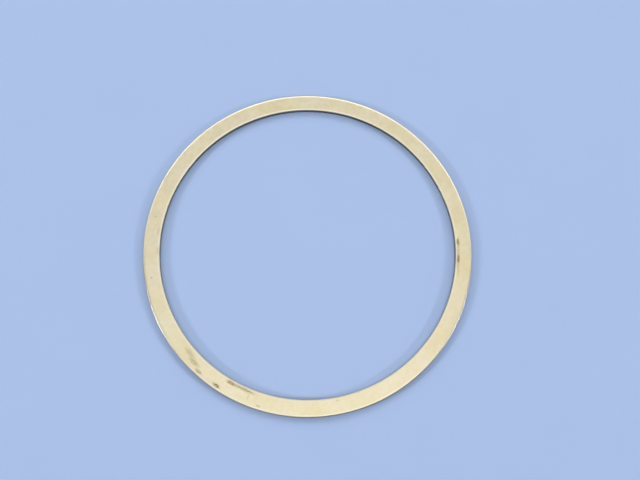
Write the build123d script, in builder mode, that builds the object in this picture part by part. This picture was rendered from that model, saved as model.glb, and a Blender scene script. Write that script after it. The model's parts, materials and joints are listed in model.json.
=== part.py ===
from build123d import *
import os

# A flat washer: a thin ring, blanked and pierced out of sheet in one stroke of a compound
# die. The shear leaves three bands on each wall. From the top face down they are the die
# roll, the bright burnished land that gives the ring its two diameters, and the torn
# fracture zone, which falls back a little from the land. Both rolls are on the same face.
#
# Millimetres. The origin is the centre of the underside, on the axis of the hole, and +Z
# runs up through the ring to the rolled face.

# Driving dimensions
hole_diameter = 81.0     # across the burnished land of the hole
ring_width = 4.5         # from the hole's land out to the rim's land
thickness = 1.5          # gauge of the sheet
roll_width = 0.70        # how far each die roll reaches across the top face
roll_depth = 0.18        # how far each die roll drops down its wall
land_height = 0.60       # height of the burnished land
fracture_setback = 0.05  # how far the fracture zone falls back by the underside
edge_break = 0.08        # radius left on the underside's edges by tumbling off the burr

# Radii and heights that follow from them
hole_radius = hole_diameter / 2
rim_radius = hole_radius + ring_width
roll_foot = thickness - roll_depth
land_foot = roll_foot - land_height

# The washer: half of its section, turned about the axis of the hole
with BuildPart() as washer:
    with BuildSketch(Plane.XZ) as section:
        with BuildLine() as outline:
            hole_roll_centre = (hole_radius + roll_width, roll_foot)
            rim_roll_centre = (rim_radius - roll_width, roll_foot)
            rim_roll = EllipticalCenterArc(
                rim_roll_centre, roll_width, roll_depth, start_angle=0, arc_size=90
            )
            hole_roll = EllipticalCenterArc(
                hole_roll_centre, roll_width, roll_depth, start_angle=90, arc_size=90
            )
            top_face = Line(rim_roll @ 1, hole_roll @ 0)
            walls_and_underside = Polyline(
                hole_roll @ 1,
                (hole_radius, land_foot),
                (hole_radius + fracture_setback, 0),
                (rim_radius - fracture_setback, 0),
                (rim_radius, land_foot),
                rim_roll @ 0,
            )
        make_face()
    revolve(axis=Axis.Z)
    underside_edges = washer.edges().group_by(Axis.Z)[0]
    fillet(underside_edges, radius=edge_break)
washer.part.label = "washer"

os.makedirs("parts", exist_ok=True)
export_step(washer.part, "parts/washer.step")
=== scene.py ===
import json
import math

import bmesh
import bpy
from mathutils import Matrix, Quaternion, Vector, noise


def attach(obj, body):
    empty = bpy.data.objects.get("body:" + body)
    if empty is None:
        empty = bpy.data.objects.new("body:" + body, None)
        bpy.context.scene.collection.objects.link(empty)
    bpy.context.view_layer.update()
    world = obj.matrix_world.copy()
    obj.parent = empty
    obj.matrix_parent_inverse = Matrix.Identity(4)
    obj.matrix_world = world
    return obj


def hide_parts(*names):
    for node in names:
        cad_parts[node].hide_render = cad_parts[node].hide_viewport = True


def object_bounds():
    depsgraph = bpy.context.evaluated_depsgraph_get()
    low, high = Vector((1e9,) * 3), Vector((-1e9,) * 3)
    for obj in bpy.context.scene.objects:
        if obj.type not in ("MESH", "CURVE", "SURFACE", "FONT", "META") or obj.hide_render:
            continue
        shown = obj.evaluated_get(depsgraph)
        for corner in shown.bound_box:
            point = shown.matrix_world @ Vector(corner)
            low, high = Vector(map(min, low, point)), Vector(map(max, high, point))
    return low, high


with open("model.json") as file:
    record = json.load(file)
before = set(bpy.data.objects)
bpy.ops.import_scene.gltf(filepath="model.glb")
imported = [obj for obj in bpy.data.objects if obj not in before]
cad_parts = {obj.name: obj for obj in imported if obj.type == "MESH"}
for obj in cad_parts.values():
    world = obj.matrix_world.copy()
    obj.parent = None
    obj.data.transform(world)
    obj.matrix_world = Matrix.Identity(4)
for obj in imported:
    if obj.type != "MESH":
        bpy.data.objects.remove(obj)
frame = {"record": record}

cad_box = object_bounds()
MM = 0.001

# ---------------------------------------------------------------------------------------
# The camera. It is held over the washer, a little towards the near side, with a short lens
# and a slight lean, as a hand-held close-up of a small part is taken.

LENS_MM = 36.56
SENSOR_WIDTH_MM = 36.0
VIEW_ELEVATION = math.radians(77.82)
VIEW_LEAN = math.radians(6.37)
VIEW_DISTANCE = 178.1 * MM
AIM_RIGHT = 3.10 * MM     # the aim passes beside the middle of the hole
AIM_BEYOND = 2.27 * MM

thickness = cad_box[1].z
towards_camera = Vector((0, -math.cos(VIEW_ELEVATION), math.sin(VIEW_ELEVATION)))
camera_at = Vector((0, 0, thickness)) + VIEW_DISTANCE * towards_camera
aim = Vector((AIM_RIGHT, AIM_BEYOND, thickness))
camera_data = bpy.data.cameras.new("camera")
camera_data.lens = LENS_MM
camera_data.sensor_width = SENSOR_WIDTH_MM
camera_data.clip_start = 5 * MM
camera = bpy.data.objects.new("camera", camera_data)
camera.location = camera_at
camera.rotation_mode = "QUATERNION"
looking = (aim - camera_at).to_track_quat("-Z", "Y")
camera.rotation_quaternion = looking @ Quaternion((0, 0, 1), VIEW_LEAN)
bpy.context.scene.collection.objects.link(camera)
bpy.context.scene.camera = camera

# ---------------------------------------------------------------------------------------
# The washer. A flat ring of mild steel sheet, blanked and pierced in one stroke of a compound
# die, then tumbled to take off the burr. A thin passivate film tints it pale straw.

mounts = {mount["name"]: mount for mount in frame["record"]["mounts"]}
hole_radius = mounts["bore"]["dims"]["r_mm"] * MM
rim_radius = mounts["rim"]["dims"]["r_mm"] * MM

ROLL_WIDTH = 0.70 * MM         # die roll: how far the drawn-in edge reaches across the face
ROLL_DEPTH = 0.18 * MM         # and how far it drops down the wall
LAND_HEIGHT = 0.60 * MM        # burnished by the side of the punch or die
LAND_WANDER = 0.14 * MM        # how far the line between land and tear runs up and down
SLOW_WAVES = 40                # its long waves and its short ones, in a whole turn
QUICK_WAVES = 260
FRACTURE_SETBACK = 0.05 * MM   # the tear falls back from the land
TEAR_DEPTH = 0.035 * MM        # pits and ridges in the torn zone
TEAR_PITCH = 0.45 * MM         # how far apart they are round the ring
TEAR_SQUASH = 1.5              # and how much closer they are down the wall
EDGE_BREAK = 0.08 * MM         # what tumbling leaves of the lower corners

STATIONS = 1200                # steps round the ring, about a quarter of a millimetre each
TOP_STEPS = 11                 # and across the section, band by band
ROLL_STEPS = 10
LAND_STEPS = 3
TEAR_STEPS = 7
BREAK_STEPS = 3
UNDER_STEPS = 6


def wave(turn, waves_per_turn, seed):
    """Smooth noise from -1 to 1 that joins up with itself after a whole turn."""
    reach = waves_per_turn / math.tau
    return noise.noise(Vector((reach * math.cos(turn), reach * math.sin(turn), seed)))


def wall_points(turn, side):
    """One wall of the section, from the top face down to the underside.

    side is 1 for the rim and -1 for the hole. Each point is (drawn, torn, r, z). drawn goes
    from 0 on the flat face to 1 where the die rubbed the metal bright, and torn is 1 where
    the metal broke. The material reads both.
    """
    land_radius = rim_radius if side > 0 else hole_radius
    seed = 10 * side
    roll_foot = thickness - ROLL_DEPTH
    land_foot = roll_foot - LAND_HEIGHT
    slow, quick = wave(turn, SLOW_WAVES, seed), wave(turn, QUICK_WAVES, seed + 1)
    land_foot += LAND_WANDER * (0.6 * slow + 0.4 * quick)
    points = []
    for step in range(ROLL_STEPS + 1):
        angle = math.pi / 2 * (1 - step / ROLL_STEPS)
        inward = ROLL_WIDTH * (1 - math.cos(angle))
        z = roll_foot + ROLL_DEPTH * math.sin(angle)
        points.append((step / ROLL_STEPS, 0, land_radius - side * inward, z))
    for step in range(1, LAND_STEPS + 1):
        z = roll_foot + (land_foot - roll_foot) * step / LAND_STEPS
        points.append((1, 0, land_radius, z))
    for step in range(1, TEAR_STEPS + 1):
        share = step / TEAR_STEPS
        z = land_foot + (EDGE_BREAK - land_foot) * share
        pits = 0.5 + 0.5 * noise.noise(Vector((
            land_radius * math.cos(turn) / TEAR_PITCH,
            land_radius * math.sin(turn) / TEAR_PITCH,
            TEAR_SQUASH * z / TEAR_PITCH + seed,
        )))
        depth = FRACTURE_SETBACK * share + TEAR_DEPTH * pits * min(1, 3 * share)
        points.append((0, 1, land_radius - side * depth, z))
    foot_depth = side * (land_radius - points[-1][2])
    for step in range(1, BREAK_STEPS + 1):
        angle = math.pi / 2 * step / BREAK_STEPS
        inward = foot_depth + EDGE_BREAK * (1 - math.cos(angle))
        z = EDGE_BREAK * (1 - math.sin(angle))
        points.append((0.5 * math.cos(angle), 0, land_radius - side * inward, z))
    return points


def section_points(turn):
    """The closed section at one station, up the hole, across the top, down and back under."""
    hole_wall = wall_points(turn, -1)
    rim_wall = wall_points(turn, 1)
    top_from, top_to = hole_wall[0][2], rim_wall[0][2]
    under_from, under_to = rim_wall[-1][2], hole_wall[-1][2]
    points = list(reversed(hole_wall))
    for step in range(1, TOP_STEPS):
        points.append((0, 0, top_from + (top_to - top_from) * step / TOP_STEPS, thickness))
    points += rim_wall
    for step in range(1, UNDER_STEPS):
        points.append((0, 0, under_from + (under_to - under_from) * step / UNDER_STEPS, 0.0))
    return points


# For finishes that are stored as pictures, the skin is also laid out flat: the ring is cut
# into equal strips, which lie side by side, each as wide as the way round the section.
STRIPS = 5
STRIP_GAP = 0.003              # bare margin round a strip, as a share of the layout
strip_stations = STATIONS // STRIPS
outline = [Vector((r, z)) for drawn, torn, r, z in section_points(0)]
section_length = len(outline)
girth = [0.0]
for k in range(section_length):
    girth.append(girth[-1] + (outline[(k + 1) % section_length] - outline[k]).length)


def laid_flat(strip, along, k):
    """Where a corner lies in the layout: along is its station in the strip, k its place across."""
    across = girth[k] / girth[-1]
    u = STRIP_GAP + (1 - 2 * STRIP_GAP) * along / strip_stations
    v = strip / STRIPS + STRIP_GAP + (1 / STRIPS - 2 * STRIP_GAP) * across
    return u, v


washer_mesh = bpy.data.meshes.new("washer_ring")
ring = bmesh.new()
drawn_layer = ring.verts.layers.float.new("drawn")
torn_layer = ring.verts.layers.float.new("torn")
layout = ring.loops.layers.uv.new("OFBake")
rows = []
for station in range(STATIONS):
    turn = math.tau * station / STATIONS
    row = []
    for drawn, torn, r, z in section_points(turn):
        corner = ring.verts.new((r * math.cos(turn), r * math.sin(turn), z))
        corner[drawn_layer] = drawn
        corner[torn_layer] = torn
        row.append(corner)
    rows.append(row)
for station in range(STATIONS):
    here, there = rows[station], rows[(station + 1) % STATIONS]
    strip, along = divmod(station, strip_stations)
    for k in range(section_length):
        after = (k + 1) % section_length
        face = ring.faces.new((here[k], here[after], there[after], there[k]))
        face.smooth = True
        places = ((along, k), (along, k + 1), (along + 1, k + 1), (along + 1, k))
        for loop, place in zip(face.loops, places):
            loop[layout].uv = laid_flat(strip, *place)
ring.normal_update()
bmesh.ops.recalc_face_normals(ring, faces=ring.faces)
ring.to_mesh(washer_mesh)
ring.free()
washer = bpy.data.objects.new("washer_ring", washer_mesh)
bpy.context.scene.collection.objects.link(washer)


def linear(hex_colour):
    """An sRGB hex colour as linear red, green, blue and alpha."""
    channels = [int(hex_colour[i : i + 2], 16) / 255 for i in (1, 3, 5)]
    return [*(c / 12.92 if c <= 0.04045 else ((c + 0.055) / 1.055) ** 2.4 for c in channels), 1.0]


def add_node(tree, kind, inputs=None, **settings):
    """Adds a shader node. inputs maps a socket to a value, or to the output that feeds it."""
    node = tree.nodes.new("ShaderNode" + kind)
    for name, value in settings.items():
        setattr(node, name, value)
    for socket, value in (inputs or {}).items():
        if isinstance(value, bpy.types.NodeSocket):
            tree.links.new(value, node.inputs[socket])
        else:
            node.inputs[socket].default_value = value
    return node


# Mild steel, tumbled with stone chips and passivated. The eye gets an even satin, pale straw
# with faint clouds where the film is thinner, and a lighter, less yellow line where each die roll starts,
# partly film rubbed thin and partly a painted highlight.
STRAW = "#C4BA99"
THIN_STRAW = "#C7BFA7"
# The rubbed colour is lighter than the straw: film rubbed thin, and a painted highlight along each roll.
RUBBED_STEEL_AND_HIGHLIGHT = "#C7C1AB"
# The wall colours are darker than steel: dull scored and torn metal, with painted shade over the walls.
BARE_STEEL_AND_SHADE = "#A29D90"
SCORED_STEEL_AND_SHADE = "#757066"
TORN_STEEL_AND_SHADE = "#49453E"
SATIN_ROUGHNESS = 0.39

CLOUD_SIZE = 9 * MM            # patches of thicker and thinner film
MOTTLE_SIZE = 1.1 * MM
DENT_SIZE = 0.35 * MM          # what the stone chips leave
SCRATCH_LENGTH = 1.8 * MM
SCRATCH_WIDTH = 0.07 * MM      # real ones are about 0.02 mm, too fine to show
STRIATION_SIZE = 0.12 * MM     # lines that the die draws down the land
STRIATION_LENGTH = 4 * MM      # longer than the wall is high, so they run its whole height
TEAR_GRAIN = 0.16 * MM         # crystals that show in the break
MICRON = 0.001 * MM

steel = bpy.data.materials.new("tumbled_steel_straw_passivate")
steel.use_nodes = True
tree = steel.node_tree
shader = tree.nodes["Principled BSDF"]
spot = add_node(tree, "TexCoord").outputs["Object"]
drawn = add_node(tree, "Attribute", attribute_name="drawn").outputs["Fac"]
torn = add_node(tree, "Attribute", attribute_name="torn").outputs["Fac"]

# The film: clouds of thinner straw, then a fine mottle over them.
clouds = add_node(tree, "TexNoise", {"Vector": spot, "Scale": 1 / CLOUD_SIZE, "Detail": 3.0})
thinness = add_node(tree, "MapRange", {
    "Value": clouds.outputs["Fac"], "From Min": 0.35, "From Max": 0.65,
})
film = add_node(tree, "MixRGB", {
    "Fac": thinness.outputs["Result"], "Color1": linear(STRAW), "Color2": linear(THIN_STRAW),
})
mottle = add_node(tree, "TexNoise", {"Vector": spot, "Scale": 1 / MOTTLE_SIZE, "Detail": 2.0})
mottle_shade = add_node(tree, "MapRange", {
    "Value": mottle.outputs["Fac"], "From Min": 0.3, "From Max": 0.7, "To Min": 0.95, "To Max": 1.03,
})
face_colour = add_node(tree, "MixRGB", {
    "Fac": 1.0, "Color1": film.outputs["Color"], "Color2": mottle_shade.outputs["Result"],
}, blend_type="MULTIPLY")

# Short scratches from the tumbling lie in four directions, so they seem to lie in all.
scratches = None
for heading in (14, 59, 97, 151):
    laid = add_node(tree, "Mapping", {
        "Vector": spot,
        "Rotation": (0, 0, math.radians(heading)),
        "Scale": (SCRATCH_LENGTH, SCRATCH_WIDTH, SCRATCH_LENGTH),
    }, vector_type="TEXTURE")
    streaks = add_node(tree, "TexNoise", {"Vector": laid.outputs["Vector"], "Scale": 1.0, "Detail": 0.0})
    cut = add_node(tree, "MapRange", {
        "Value": streaks.outputs["Fac"], "From Min": 0.70, "From Max": 0.78,
    })
    if scratches is None:
        scratches = cut.outputs["Result"]
    else:
        scratches = add_node(tree, "Math", {
            0: scratches, 1: cut.outputs["Result"],
        }, operation="MAXIMUM").outputs["Value"]

# The walls: lines drawn down the burnished land, and coarse grain in the torn zone. Both are coloured
# darker than the bare metal is, as painted shade on top of the dull scored and torn steel.
down_the_wall = add_node(tree, "Mapping", {
    "Vector": spot, "Scale": (1 / STRIATION_SIZE, 1 / STRIATION_SIZE, 1 / STRIATION_LENGTH),
})
striations = add_node(tree, "TexNoise", {
    "Vector": down_the_wall.outputs["Vector"], "Scale": 1.0, "Detail": 2.0,
})
land_colour_and_shade = add_node(tree, "MixRGB", {
    "Fac": striations.outputs["Fac"], "Color1": linear(SCORED_STEEL_AND_SHADE), "Color2": linear(BARE_STEEL_AND_SHADE),
})
grain = add_node(tree, "TexNoise", {"Vector": spot, "Scale": 1 / TEAR_GRAIN, "Detail": 3.0})
grain_shade = add_node(tree, "MapRange", {
    "Value": grain.outputs["Fac"], "From Min": 0.3, "From Max": 0.7, "To Min": 0.6, "To Max": 1.5,
})
torn_colour_and_shade = add_node(tree, "MixRGB", {
    "Fac": 1.0, "Color1": linear(TORN_STEEL_AND_SHADE), "Color2": grain_shade.outputs["Result"],
}, blend_type="MULTIPLY")

# drawn rises from 0 to 1 over a die roll. Rubbing thins the film near its start, where the colour is also
# made lighter as a painted highlight along the roll, then wears it through to bare steel, darkened with
# painted shade, which covers the land below.
rubbed = add_node(tree, "MapRange", {
    "Value": drawn, "From Min": 0.0, "From Max": 0.3, "To Max": 0.9,
}, interpolation_type="SMOOTHSTEP")
on_land = add_node(tree, "MapRange", {
    "Value": drawn, "From Min": 0.4, "From Max": 0.9,
}, interpolation_type="SMOOTHSTEP")
with_rolls = add_node(tree, "MixRGB", {
    "Fac": rubbed.outputs["Result"], "Color1": face_colour.outputs["Color"], "Color2": linear(RUBBED_STEEL_AND_HIGHLIGHT),
})
with_lands = add_node(tree, "MixRGB", {
    "Fac": on_land.outputs["Result"],
    "Color1": with_rolls.outputs["Color"],
    "Color2": land_colour_and_shade.outputs["Color"],
})
whole_colour = add_node(tree, "MixRGB", {
    "Fac": torn, "Color1": with_lands.outputs["Color"], "Color2": torn_colour_and_shade.outputs["Color"],
}).outputs["Color"]

# Storage has left a few stains and rust specks on the top face. Each row is the colour and its
# strength, then the place in degrees round from +X and millimetres out from the hole, and the
# size in millimetres round the ring and across it.
OLIVE = "#726C45"
RUST = "#7C4920"
RED_RUST = "#552D18"
SOOT = "#3A342B"
MARKS = (
    (OLIVE, 0.45, 224.5, 1.7, 4.8, 1.5),
    (OLIVE, 0.60, 227.8, 2.5, 4.2, 1.4),
    (OLIVE, 0.80, 231.0, 3.4, 2.8, 0.9),
    (RED_RUST, 0.90, 238.8, 3.4, 2.8, 1.0),
    (RUST, 0.90, 242.8, 0.9, 3.0, 1.2),
    (OLIVE, 0.85, 247.5, 0.8, 8.5, 1.0),
    (SOOT, 0.35, 250.4, 2.2, 0.4, 2.0),
    (OLIVE, 0.50, 254.6, 3.5, 1.7, 0.6),
    (SOOT, 0.95, 4.3, 0.8, 2.3, 0.9),
    (SOOT, 0.95, 357.8, 0.8, 2.5, 0.9),
    (RUST, 0.50, 358.6, 0.7, 12.0, 0.9),
    (RUST, 0.30, 175.8, 0.8, 3.2, 1.0),
    (RUST, 0.30, 183.2, 0.5, 3.2, 0.9),
    (SOOT, 0.60, 170.3, 2.5, 0.7, 0.5),
    (SOOT, 0.50, 193.1, 2.6, 0.6, 0.5),
    (SOOT, 0.30, 282.5, 0.9, 1.4, 0.4),
)
MARK_HEIGHT = 0.8 * MM         # keeps them off the walls and the underside
RAGGED = 0.5 * MM              # how far their edges wander
SPECKLE = 0.3 * MM             # and how finely they break up
wander = add_node(tree, "TexNoise", {"Vector": spot, "Scale": 1 / RAGGED, "Detail": 3.0})
ragged_spot = add_node(tree, "VectorMath", {
    0: wander.outputs["Color"], 1: (RAGGED, RAGGED, 0), 2: spot,
}, operation="MULTIPLY_ADD")
speckle = add_node(tree, "TexNoise", {"Vector": spot, "Scale": 1 / SPECKLE, "Detail": 2.0})
broken = add_node(tree, "MapRange", {
    "Value": speckle.outputs["Fac"], "From Min": 0.38, "From Max": 0.6, "To Min": 0.25,
})
stains = None
for colour, strength, degrees, out, length, width in MARKS:
    r = hole_radius + out * MM
    turn = math.radians(degrees)
    centre = (r * math.cos(turn) + RAGGED / 2, r * math.sin(turn) + RAGGED / 2, thickness)
    laid = add_node(tree, "Mapping", {
        "Vector": ragged_spot.outputs["Vector"],
        "Location": centre,
        "Rotation": (0, 0, turn),
        "Scale": (width / 2 * MM, length / 2 * MM, MARK_HEIGHT),
    }, vector_type="TEXTURE")
    away = add_node(tree, "VectorMath", {0: laid.outputs["Vector"]}, operation="LENGTH")
    patch = add_node(tree, "MapRange", {
        "Value": away.outputs["Value"], "From Min": 1.2, "From Max": 0.3, "To Max": strength,
    }, interpolation_type="SMOOTHSTEP")
    stain = add_node(tree, "Math", {
        0: patch.outputs["Result"], 1: broken.outputs["Result"],
    }, operation="MULTIPLY").outputs["Value"]
    whole_colour = add_node(tree, "MixRGB", {
        "Fac": stain, "Color1": whole_colour, "Color2": linear(colour),
    }).outputs["Color"]
    if stains is None:
        stains = stain
    else:
        stains = add_node(tree, "Math", {0: stains, 1: stain}, operation="MAXIMUM").outputs["Value"]
tree.links.new(whole_colour, shader.inputs["Base Color"])

# A stain is a skin of rust or dried oil, so it is less of a metal than what it lies on.
metal = add_node(tree, "MapRange", {"Value": stains, "To Min": 1.0, "To Max": 0.3})
tree.links.new(metal.outputs["Result"], shader.inputs["Metallic"])

# Roughness: satin on the faces, smoother where the die rubbed, and dull in the tear and stains.
dents = add_node(tree, "TexNoise", {"Vector": spot, "Scale": 1 / DENT_SIZE, "Detail": 2.0})
roughness = add_node(tree, "MapRange", {
    "Value": mottle.outputs["Fac"],
    "From Min": 0.3,
    "From Max": 0.7,
    "To Min": SATIN_ROUGHNESS - 0.03,
    "To Max": SATIN_ROUGHNESS + 0.03,
}).outputs["Result"]
for share, change in (
    (rubbed.outputs["Result"], -0.06),
    (scratches, -0.05),
    (torn, 0.25),
    (stains, 0.30),
):
    roughness = add_node(tree, "Math", {
        0: share, 1: change, 2: roughness,
    }, operation="MULTIPLY_ADD").outputs["Value"]
tree.links.new(roughness, shader.inputs["Roughness"])

# Relief, in microns: dents and scratches everywhere, lines on the land and grain in the tear.
striated = add_node(tree, "Math", {
    0: striations.outputs["Fac"], 1: on_land.outputs["Result"],
}, operation="MULTIPLY")
grained = add_node(tree, "Math", {0: grain.outputs["Fac"], 1: torn}, operation="MULTIPLY")
relief = add_node(tree, "Math", {0: dents.outputs["Fac"], 1: 6.0}, operation="MULTIPLY").outputs["Value"]
for share, microns in (
    (scratches, -2.0),
    (striated.outputs["Value"], 3.0),
    (grained.outputs["Value"], 25.0),
):
    relief = add_node(tree, "Math", {
        0: share, 1: microns, 2: relief,
    }, operation="MULTIPLY_ADD").outputs["Value"]
bump = add_node(tree, "Bump", {"Height": relief, "Distance": MICRON, "Strength": 1.0})
tree.links.new(bump.outputs["Normal"], shader.inputs["Normal"])

washer_mesh.materials.append(steel)
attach(washer, "root")
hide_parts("washer")

# ---------------------------------------------------------------------------------------
# The floor. A plain sheet of matt blue card, which looks pale under the lights.

FLOOR_REACH = 1.7              # metres from the middle to each side
CARD = "#91A3C4"
CARD_DEEP = "#8DA0C2"
CARD_CLOUD = 25 * MM
FIBRE_SIZE = 0.5 * MM
TOOTH_DEPTH = 20 * MICRON

floor_mesh = bpy.data.meshes.new("floor")
sheet = bmesh.new()
bmesh.ops.create_grid(sheet, x_segments=8, y_segments=8, size=FLOOR_REACH)
sheet.to_mesh(floor_mesh)
sheet.free()
floor = bpy.data.objects.new("floor", floor_mesh)
bpy.context.scene.collection.objects.link(floor)

# Uncoated card: no shine, with the faint tooth and cloudiness of its pulp.
card = bpy.data.materials.new("matt_pale_card")
card.use_nodes = True
tree = card.node_tree
shader = tree.nodes["Principled BSDF"]
shader.inputs["Roughness"].default_value = 0.9
shader.inputs["Specular IOR Level"].default_value = 0.2
spot = add_node(tree, "TexCoord").outputs["Object"]
pulp = add_node(tree, "TexNoise", {"Vector": spot, "Scale": 1 / CARD_CLOUD, "Detail": 4.0})
card_colour = add_node(tree, "MixRGB", {
    "Fac": pulp.outputs["Fac"], "Color1": linear(CARD), "Color2": linear(CARD_DEEP),
})
tree.links.new(card_colour.outputs["Color"], shader.inputs["Base Color"])
fibres = add_node(tree, "TexNoise", {"Vector": spot, "Scale": 1 / FIBRE_SIZE, "Detail": 3.0})
tooth = add_node(tree, "Bump", {
    "Height": fibres.outputs["Fac"], "Distance": TOOTH_DEPTH, "Strength": 1.0,
})
tree.links.new(tooth.outputs["Normal"], shader.inputs["Normal"])
floor_mesh.materials.append(card)

# ---------------------------------------------------------------------------------------
# The lights. A room with plain pale walls: a wide soft light overhead, a row of soft panels
# along the far side as a long window would stand, a small low lamp on each side, and two
# weaker soft lights on the near side.

WHITE = "#FFFFFF"
WALL_GLOW = 0.75               # brightness of the pale walls at the height of the table
CEILING_GLOW = 0.02            # and what they have faded to at their top
WALL_TOP = math.sin(math.radians(34))


def soft_light(name, azimuth, elevation, distance, size, watts):
    """A round soft light that faces the washer, its distance and size in metres.

    azimuth and elevation are in degrees, and azimuth turns from +X to +Y.
    """
    data = bpy.data.lights.new(name, "AREA")
    data.shape = "DISK"
    data.size = size
    data.energy = watts
    light = bpy.data.objects.new(name, data)
    around, up = math.radians(azimuth), math.radians(elevation)
    level = math.cos(up)
    direction = Vector((level * math.cos(around), level * math.sin(around), math.sin(up)))
    light.location = distance * direction
    light.rotation_mode = "QUATERNION"
    light.rotation_quaternion = (-direction).to_track_quat("-Z", "Y")
    bpy.context.scene.collection.objects.link(light)


PANEL_DISTANCE = 2.4
LAMP_DISTANCE = 2.0
LAMP_SIZE = 0.28
for azimuth in (30, 60, 90, 120, 150):
    soft_light(f"panel_beyond_{azimuth}", azimuth, 37, PANEL_DISTANCE, 1.5, 11.8)
soft_light("lamp_left", 197, 25, LAMP_DISTANCE, LAMP_SIZE, 18.0)
soft_light("lamp_right", -14, 26, LAMP_DISTANCE, LAMP_SIZE, 15.0)
soft_light("overhead", 290, 88, PANEL_DISTANCE, 2.4, 22.8)
soft_light("near_right", 315, 65, PANEL_DISTANCE, 1.0, 3.4)
soft_light("near_left", 235, 56, PANEL_DISTANCE, 1.4, 5.8)

world = bpy.data.worlds.new("room")
bpy.context.scene.world = world
world.use_nodes = True
tree = world.node_tree
look = add_node(tree, "TexCoord").outputs["Generated"]
height = add_node(tree, "SeparateXYZ", {"Vector": look}).outputs["Z"]
glow = add_node(tree, "MapRange", {
    "Value": height, "From Min": 0.0, "From Max": WALL_TOP, "To Min": WALL_GLOW, "To Max": CEILING_GLOW,
}, interpolation_type="SMOOTHSTEP")
background = tree.nodes["Background"]
background.inputs["Color"].default_value = linear(WHITE)
tree.links.new(glow.outputs["Result"], background.inputs["Strength"])
bpy.context.scene.view_settings.view_transform = "Standard"
